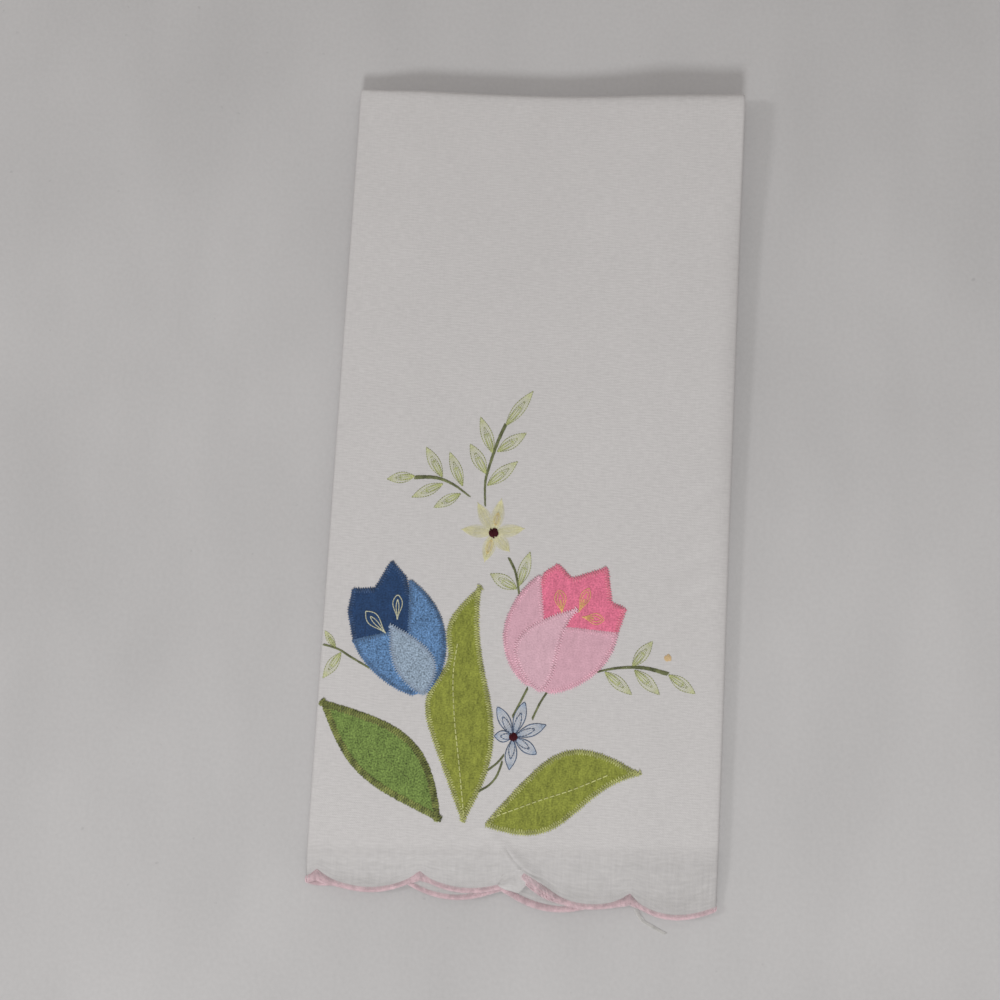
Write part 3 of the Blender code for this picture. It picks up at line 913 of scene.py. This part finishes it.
def make_patch(node, look, base, heading, rows, lift=0.0, mirrored=False):
    """An appliquéd piece over the panel, in the place of its solid."""
    sign = -1 if mirrored else 1

    def placer(row):
        along, low, high = row

        def place(part):
            side = mix(low, high, part)
            from_edge = min(part, 1 - part) * (high - low)
            dropped = EDGE_DROP * (1 - ease(0, EDGE_ROUND, from_edge))
            return on_panel(*turned(base, heading, along, side * sign), lift + PATCH / 2 - dropped)

        return place

    placers = [placer(row) for row in rows]
    patch = make_sheet(node + "_cloth", PATCH_COLUMNS, placers, PATCH * MM, cloths[look])
    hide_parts(node)
    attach(patch, "root")


def keep(piece):
    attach(piece, "root")


def sew(name, strands, thread, radius=None, closed=False):
    """Threads along lists of points, as one curve with round section, as thick as the thread is."""
    curve = bpy.data.curves.new(name, "CURVE")
    curve.dimensions = "3D"
    curve.bevel_depth = (radius or THREADS[thread][2]) * MM
    curve.bevel_resolution = 0
    curve.use_fill_caps = not closed
    for strand in strands:
        spline = curve.splines.new("POLY")
        spline.points.add(len(strand) - 1)
        spline.points.foreach_set("co", [value for point in strand for value in (*point, 1)])
        spline.use_cyclic_u = closed
        spline.use_smooth = True
    curve.materials.append(threads[thread])
    keep(put_in_scene(name, curve))


# The cloth
# Its material has painted shade along the open hem, where only the floor lies behind the cloth
hem_cloth = white_cloth("white_cloth", PAINTED_OPEN_SHADE)
cloth = make_sheet("towel_cloth", cloth_columns(), cloth_rows(), SEEN_CLOTH, hem_cloth)
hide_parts("towel")
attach(cloth, "root")

# The edging: a narrow band with satin stitches round it, bunched at the notches
EDGING_MIDDLE = 1.06 * MM
EDGING_HALF = 1 * MM
EDGING_HEIGHT = 0.45 * MM
EDGING_PITCH = 0.42 * MM
EDGING_CORNERS = 8
EDGING_LEAN = 0.3
EDGING_CORE = (0.35 * MM, 1.7 * MM)
EDGING_CORE_ROWS = 4
EDGING_CORE_THICKNESS = 0.55 * MM
EDGING_STEP = 1.2 * MM
BUNCHING = 0.35
BUNCH_REACH = 1.8 * MM
TINY = 0.2 * MM
# Fuller stretches, mostly at the panel's own notches: where along the cloth's width, how much fuller, and
# how far to each side, in millimetres
BUNCHES = [(27, 0.35, 12, 10), (107.5, 0.7, 4, 4.5), (142, 0.5, 3, 3), (181, 1.4, 4, 8), (213, 0.6, 4, 3)]


def edging_point(cut, angle):
    """A point of a stitch round the edging, by its angle from the inner side over the top."""
    notch = abs((cut / SCALLOP_PITCH + 0.5) % 1 - 0.5) * SCALLOP_PITCH
    bunched = 1 + BUNCHING * bell(notch, BUNCH_REACH)
    for at, fuller, left, right in BUNCHES:
        bunched += fuller * bell(cut / MM - at, left, right)
    middle = scallop(cut) + EDGING_MIDDLE
    up = middle + EDGING_HALF * bunched * cos(angle)
    spot = front_point(cut, up)
    across = front_point(cut + TINY, middle) - front_point(cut - TINY, middle)
    ahead = front_point(cut, middle + TINY) - front_point(cut, middle - TINY)
    normal = across.cross(ahead).normalized()
    return spot + normal * EDGING_HEIGHT * bunched * sin(angle)


def edging_stitches():
    strands = []
    cut = EDGING_PITCH
    while cut < TOWEL_WIDTH - EDGING_PITCH:
        strand = []
        for index in range(EDGING_CORNERS):
            angle = 2 * pi * index / EDGING_CORNERS
            strand.append(edging_point(cut + EDGING_LEAN * EDGING_PITCH * cos(angle), angle))
        strands.append(strand)
        cut += EDGING_PITCH * (1 + uneven(cut / MM, 0, 0.2))
    return strands


core_rows = [
    lambda cut, part=part: front_point(cut, scallop(cut) + mix(*EDGING_CORE, part))
    for part in parts(EDGING_CORE_ROWS)
]
core_columns = steps(0, TOWEL_WIDTH, EDGING_STEP) + [TOWEL_WIDTH]
pink_thread = threads["pink_thread"]
edging = make_sheet("edging_core", core_columns, core_rows, EDGING_CORE_THICKNESS, pink_thread)
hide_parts("scallop_edging")
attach(edging, "root")
sew("edging_stitches", edging_stitches(), "pink_thread", closed=True)

# A tuck of the hem's cloth that has slipped over the edging, left of the third notch
TUCK_UPPER = [(-3.9, -137.1), (-1.8, -133.6), (1.6, -131.6), (4.6, -132), (6.6, -134.6)]
TUCK_LOWER = [(-3.4, -137.9), (-1.6, -138.9), (1, -139.4), (3.7, -139.7), (6.3, -136.2)]
TUCK_RISE = 0.95
TUCK_SUNK = -0.2
TUCK_ROUNDNESS = 0.6
TUCK_COLUMNS = 24
TUCK_ROWS = 16
TUCK_STEP = 0.4 * MM
TUCK_FULLEST = 0.72
TUCK_FALL = 0.6
TUCK_SPAN = (0.08, 0.92)
TUCK_UNEVEN = 0.2


def tuck_row(row_part):
    """A row of the tuck, from 0 at its upper side, sunk in the cloth, to 1 at its lower side."""
    swell = ease(0, TUCK_FULLEST, row_part) * (1 - TUCK_FALL * ease(TUCK_FULLEST, 1, row_part))

    def place(column):
        number = round(column / TUCK_STEP)
        part = mix(*TUCK_SPAN, number / TUCK_COLUMNS)
        x, y = between(tuck_upper[number], tuck_lower[number], row_part)
        rise = TUCK_RISE * sin(pi * part) ** TUCK_ROUNDNESS
        return on_panel(x, y, mix(TUCK_SUNK, rise, swell) + uneven(x / 2, y / 2, TUCK_UNEVEN))

    return place


tuck_upper, tuck_lower = (evenly(side, TUCK_COLUMNS) for side in (TUCK_UPPER, TUCK_LOWER))
tuck_rows = [tuck_row(part) for part in parts(TUCK_ROWS)]
tuck_columns = [index * TUCK_STEP for index in range(TUCK_COLUMNS + 1)]
# The tuck's cloth has a weaker painted shade where only the floor lies behind it
tuck_cloth = white_cloth("tuck_cloth", PAINTED_TUCK_SHADE)
keep(make_sheet("hem_tuck", tuck_columns, tuck_rows, PATCH * MM, tuck_cloth))

# The leaves. The left one's wide seam has dark stitches under its own.
for node, look, base, tip, *shape in LEAVES:
    length, heading = span(base, tip)
    rows = leaf_rows(length, *shape)
    make_patch(node, look, base, heading, rows)
    right_side = [turned(base, heading, along, low) for along, low, _ in rows]
    left_side = [turned(base, heading, along, high) for along, _, high in rows]
    outline = right_side + left_side[::-1]
    inside = SEAM_INSIDE
    if node == "leaf_left":
        inside = WIDE_SEAM
        under = seam(outline, PATCH_TOP - UNDER_SEAM, inside=inside, flipped=1)
        sew(node + "_dark_seam", under, "dark_seam")
    sew(node + "_seam", seam(outline, PATCH_TOP, inside=inside), look + "_seam")

# The tulips
for tulip_name, tulip in TULIPS.items():
    heart_look, side_look, front_look = TULIP_LOOKS[tulip_name]
    base = tulip["base"]
    up_axis = radians(90 + tulip["lean"])
    across_axis = up_axis - pi / 2

    def spot(across, up, base=base, up_axis=up_axis):
        return turned(base, up_axis, up, -across)

    # The heart, with stitches along its crown and its free sides
    rows = heart_rows(tulip)
    make_patch(tulip_name + "_heart", heart_look, base, across_axis, rows)
    crown = [spot(across, high) for across, _, high in rows]
    first, last = (spot(*row[:2]) for row in (rows[0], rows[-1]))
    strands = seam([last] + crown[::-1] + [first], PATCH_TOP)
    sew(tulip_name + "_heart_seam", strands, heart_look + "_thread")

    # The side petals, with stitches along their outer edges and rims
    strands = []
    for side in ("left", "right"):
        petal = tulip[side]
        left = side == "left"
        top = petal["tip"][1] if petal["tip"] else petal["rim"]
        rows = []
        outer_path, inner_path = [], []
        for part in parts(PETAL_SECTIONS):
            up = mix(PETAL_FOOT, top, part)
            low, high = side_petal_sides(tulip, side, up)
            outer_path.append(spot(low if left else high, up))
            if up >= petal["rim"]:
                inner_path.append(spot(high if left else low, up))
            under = UNDERLAP if up < petal["rim"] else 0
            rows.append((up, low, high + under) if left else (up, low - under, high))
        node = tulip_name + "_" + side + "_petal"
        make_patch(node, side_look, base, up_axis, rows, SIDE_LIFT, mirrored=True)
        path = outer_path + inner_path[::-1]
        strands += seam(path[::-1] if left else path, PATCH_TOP + SIDE_LIFT)
    sew(tulip_name + "_side_seam", strands, side_look + "_thread")

    # The front petal
    front = tulip["front"]
    heights = [front["tip"][1] * part for part in parts(PETAL_SECTIONS)]
    rows = [(up, *front_sides(front, up)) for up in heights]
    make_patch(tulip_name + "_front_petal", front_look, base, up_axis, rows, FRONT_LIFT, mirrored=True)
    outline = [spot(high, up) for up, _, high in rows] + [spot(low, up) for up, low, _ in rows[::-1]]
    strands = seam(outline, PATCH_TOP + FRONT_LIFT, ground=PATCH + SIDE_LIFT, inside=1.3, outside=0.5)
    sew(tulip_name + "_front_seam", strands, front_look + "_thread")

# The embroidered sprigs: their satin-stitched stems, each with its width at both ends, and their leaves in
# double outline, each by its base, its tip and half its width
STEMS = [
    ([(-15.1, -9.2), (-15.5, -1.2), (-14.4, 4.6), (-12.7, 10.9), (-11.1, 15.7), (-9.5, 19.6)], 0.45, 1.15),
    ([(-20.7, -6.3), (-25.6, -2.9), (-30.3, -0.8), (-34.5, -0.1), (-40.2, -0.4)], 0.35, 1.35),
    ([(-5.7, -27.2), (-3.1, -32.4), (-1.5, -40)], 0.75, 0.55),
    ([(26.4, -64.6), (33.5, -62.9), (42.3, -62.4), (50.4, -64)], 0.45, 1.35),
    ([(-51.9, -67.5), (-58.8, -64.1), (-63.5, -61.6), (-68.9, -60.2)], 0.55, 0.55),
    ([(3, -71.4), (0.7, -76.4), (-1.6, -81.2)], 0.55, 0.55),
    ([(9.7, -72.4), (7.4, -76.4), (5.2, -81.6)], 0.55, 0.55),
    ([(-3.9, -94.4), (-6.5, -97.6), (-11.4, -101.4)], 0.55, 0.55),
    ([(-4.3, -96.6), (-5.9, -101.4), (-8.4, -104.7), (-12.4, -107.3)], 0.55, 0.55),
]
SPRIG_LEAVES = [
    ((-9.5, 19.2), (-0.4, 32.1), 2),
    ((-13.2, 9.1), (-18.5, 22.2), 2),
    ((-15.3, 1.9), (-21.6, 12.4), 2.2),
    ((-12, 9.9), (-1.9, 17.1), 2.1),
    ((-14.8, -2.2), (-4.5, 6.8), 2.2),
    ((-40.3, 0), (-50.2, -1.4), 1.9),
    ((-30.6, 0), (-37, 10.6), 2),
    ((-23.3, -2.8), (-28.6, 9.2), 1.9),
    ((-30.2, -2.2), (-41, -7.5), 1.9),
    ((-23.8, -5.4), (-33.1, -10.8), 1.8),
    ((-1.9, -36.8), (1.5, -24.6), 2),
    ((-2.4, -37.7), (-12, -32.9), 2.3),
    ((50.6, -64.2), (60.1, -70.2), 2),
    ((38.2, -62.3), (44.9, -53.1), 2),
    ((29, -64.4), (38.6, -71.7), 2),
    ((39, -63.2), (48, -71.2), 2.1),
    ((-62.5, -62.6), (-68.4, -71.8), 1.9),
    ((-64.6, -61.2), (-68.9, -55.3), 1.2),
]
stems, outlines, fillings, shading = [], [], [], []
for stem in STEMS:
    stems += satin(*stem)
for base, tip, half in SPRIG_LEAVES:
    # Its outline and a narrower one inside it, a filling of its lower part, and its shading
    inner = between(base, tip, 0.6)
    outlines += backstitch(drop_path(base, tip, half, fullness=0.95), stitch=0.9, gap=0.17)
    outlines += backstitch(drop_path(base, tip, half * 0.55, reach=0.72), stitch=0.8, gap=0.2)
    fillings += filled_petal(base, inner, half * 0.4, 3, lift=0, fullness=1.1, height=0.08)
    shading += filled_petal(base, tip, half * 0.9, 7, lift=-0.03, height=0.02)
sew("sprig_stems", stems, "stem_thread")
sew("sprig_outlines", outlines, "sprig_thread")
sew("sprig_fillings", fillings, "filling_thread")
sew("sprig_shading", shading, "shading_thread")

# The two star flowers, with deeper yellow along a part of some petals
BLUE_CENTRE = (-1, -88.1)
BLUE_TIPS = [(-7.1, -78), (2.4, -75.8), (10, -83.4), (7.4, -93.6), (-1.8, -99.2), (-7.5, -88.1)]
YELLOW_CENTRE = (-11.6, -18.7)
YELLOW_TIPS = [(-23, -17.9), (-0.8, -16.6), (-9.4, -6.4), (-17.8, -8.2), (-14.2, -29), (-5.6, -25)]
YELLOW_DEEPER = {2: (0.2, 0.6), 4: (0.2, 0.75)}
petals, shading = [], []
for tip in BLUE_TIPS:
    inner = drop_path(BLUE_CENTRE, tip, 1, fullness=1.2, reach=0.68)
    petals += backstitch(drop_path(BLUE_CENTRE, tip, 2, fullness=1.15), gap=0.03)
    petals += backstitch(inner, stitch=1, gap=0.1)
    shading += filled_petal(BLUE_CENTRE, tip, 1.7, 7, lift=-0.03, fullness=1.15, height=0.03)
sew("blue_flower_petals", petals, "blue_petal_thread")
sew("blue_flower_shading", shading, "blue_shading_thread")
petals, rims, accents = [], [], []
for number, tip in enumerate(YELLOW_TIPS):
    rims += filled_petal(YELLOW_CENTRE, tip, 2.3, 15, lift=-0.03, height=0.02)
    petals += filled_petal(YELLOW_CENTRE, tip, 1.7, 9, lift=0, height=0.05)
    if number in YELLOW_DEEPER:
        start, end = (between(YELLOW_CENTRE, tip, part) for part in YELLOW_DEEPER[number])
        accents += filled_petal(start, end, 1.2, 5, lift=0.05)
sew("yellow_flower_petals", petals, "yellow_petal_thread")
sew("yellow_flower_rims", rims, "pale_petal_thread")
sew("yellow_flower_accents", accents, "yellow_accent_thread")
centres = dot(BLUE_CENTRE, 1.3, 0.1, 0.4) + dot(YELLOW_CENTRE, 1.45, 0.2, 0.5)
sew("flower_centres", centres, "centre_thread")

# Stamens in the tulips' hearts, each by its base, its tip and half its width
BLUE_STAMENS = [
    ((-46.8, -55.4), (-54.6, -48), 2.1),
    ((-43.2, -50.4), (-43.6, -41.6), 1.7),
]
PINK_STAMENS = [
    ((13.6, -45.4), (12.2, -37.2), 2),
    ((19.2, -44.8), (22.4, -36.2), 1.7),
    ((20.4, -46.2), (28, -46.9), 1.9),
]


def stamen_strands(stamens, shares):
    """Loops of running stitch, each with narrower ones inside it."""
    strands = []
    for base, tip, half in stamens:
        for width, reach in shares:
            path = drop_path(base, tip, half * width, fullness=1.6, reach=reach)
            strands += backstitch(path, lift=PATCH_TOP, stitch=1, gap=0.06)
    return strands


strands = stamen_strands(BLUE_STAMENS, [(1, 1), (0.3, 0.8)])
sew("blue_tulip_stamens", strands, "pale_stamen_thread")
strands = stamen_strands(PINK_STAMENS, [(1, 1), (0.5, 0.9), (0.12, 0.6)])
sew("pink_tulip_stamens", strands, "yellow_stamen_thread")

# Veins of the leaves, in running stitch
VEINS = [
    [(-21.8, -57.3), (-22.7, -66.9), (-22.1, -76.8), (-20.8, -86.9), (-19.1, -96.9), (-16.3, -115.1)],
    [(-7.5, -115.6), (0.9, -112.1), (9.2, -108.6), (20.1, -104.4), (31.7, -98.9)],
]
DARK_VEIN = [(-49.6, -94.3), (-42.8, -99), (-35.5, -104.3)]
strands = []
for path in VEINS:
    strands += backstitch(curved(path), stitch=2.1, gap=0.14, lift=PATCH_TOP)
sew("leaf_veins", strands, "vein_thread")
strands = backstitch(DARK_VEIN, stitch=1.1, gap=0.3, lift=PATCH_TOP - 0.05)
sew("left_leaf_vein", strands, "dark_seam", radius=FINE_THREAD)

# A yellow knot, and a thread's loose tail of a few fibres at the hem
KNOT = (50.2, -58.6)
TAIL = [
    (42.8, -142.6, 1.5),
    (43.9, -144.9, 0.8),
    (45.8, -147.2, 0.25),
    (50.8, -149.6, 0.2),
    (53.5, -150.8, 0.2),
]
TAIL_FIBRES = (-0.45, -0.15, 0.15, 0.45)
sew("yellow_knot", dot(KNOT, 1.1, 0, 0.15), "knot_thread")
strands = []
for aside in TAIL_FIBRES:
    strands.append([(Vector(place) + Vector((aside, aside / 2, 0))) * MM for place in TAIL])
sew("thread_tail", strands, "tail_thread")

# The floor
FLOOR_SIZE = 4.0
FLOOR_COLOUR = (0.543, 0.527, 0.530)
SPECK_SHADE = -0.12
floor_material, tree, shader = plain_material("pale_floor", roughness=0.75)
place = object_place(tree)
clouds = stretched_noise(tree, place, (9, 9, 9), detail=3)
smears = stretched_noise(tree, place, (30, 12, 9), detail=2)
grain = stretched_noise(tree, place, (700, 700, 9), detail=2)
specks = stretched_noise(tree, place, (330, 330, 9), detail=1, low=0.76, high=0.84)
factor = varied(tree, [(clouds, 0.08), (smears, 0.06), (grain, 0.05)])
factor = calculate(tree, "MULTIPLY_ADD", specks, SPECK_SHADE, factor)
finish_shader(tree, shader, FLOOR_COLOUR, factor)
floor_mesh = bpy.data.meshes.new("floor")
floor_grid = bmesh.new()
bmesh.ops.create_grid(floor_grid, x_segments=1, y_segments=1, size=FLOOR_SIZE / 2)
floor_grid.to_mesh(floor_mesh)
floor_grid.free()
floor_mesh.materials.append(floor_material)
put_in_scene("floor", floor_mesh)

# Light: soft lamps below, left of and high to the right of the towel, and an even fill from all round. Each
# lamp has its directions in plan and in height, in degrees, its size, its power and its colour.
LAMP_DISTANCE = 1.5
LAMPS = [
    ("front_lamp", 271, 39, 0.3, 10.15, (0.97, 1, 1)),
    ("left_lamp", 183, 44, 0.24, 3.05, (1, 1, 1)),
    ("high_lamp", 0, 76, 0.56, 1.8, (1, 1, 1)),
]
FILL_COLOUR = (0.382, 0.372, 0.358, 1)
for name, plan, height, size, power, colour in LAMPS:
    lamp_data = bpy.data.lights.new(name, "AREA")
    lamp_data.shape = "DISK"
    lamp_data.size = size
    lamp_data.energy = power
    lamp_data.color = colour
    plan, height = radians(plan), radians(height)
    towards = Vector((cos(height) * cos(plan), cos(height) * sin(plan), sin(height)))
    shining = put_in_scene(name, lamp_data)
    shining.location = towards * LAMP_DISTANCE
    shining.rotation_euler = towards.to_track_quat("Z", "Y").to_euler()
world = bpy.data.worlds.new("studio")
world.use_nodes = True
world.node_tree.nodes["Background"].inputs["Color"].default_value = FILL_COLOUR
bpy.context.scene.world = world
bpy.context.scene.view_settings.view_transform = "Standard"

# The camera, nearly overhead
CAMERA_PLACE = Vector((25.98, -73.79, 490.28)) * MM
CAMERA_TURN = Vector((radians(-7.981), radians(-4.042), radians(-2.909)))
camera_data = bpy.data.cameras.new("camera")
camera_data.lens = 50.4
camera_data.sensor_width = 36
camera_data.clip_start = 0.01
camera = put_in_scene("camera", camera_data)
camera_rotation = Matrix.Rotation(CAMERA_TURN.length, 4, CAMERA_TURN.normalized()).transposed()
camera.matrix_world = Matrix.Translation(CAMERA_PLACE) @ camera_rotation
bpy.context.scene.camera = camera
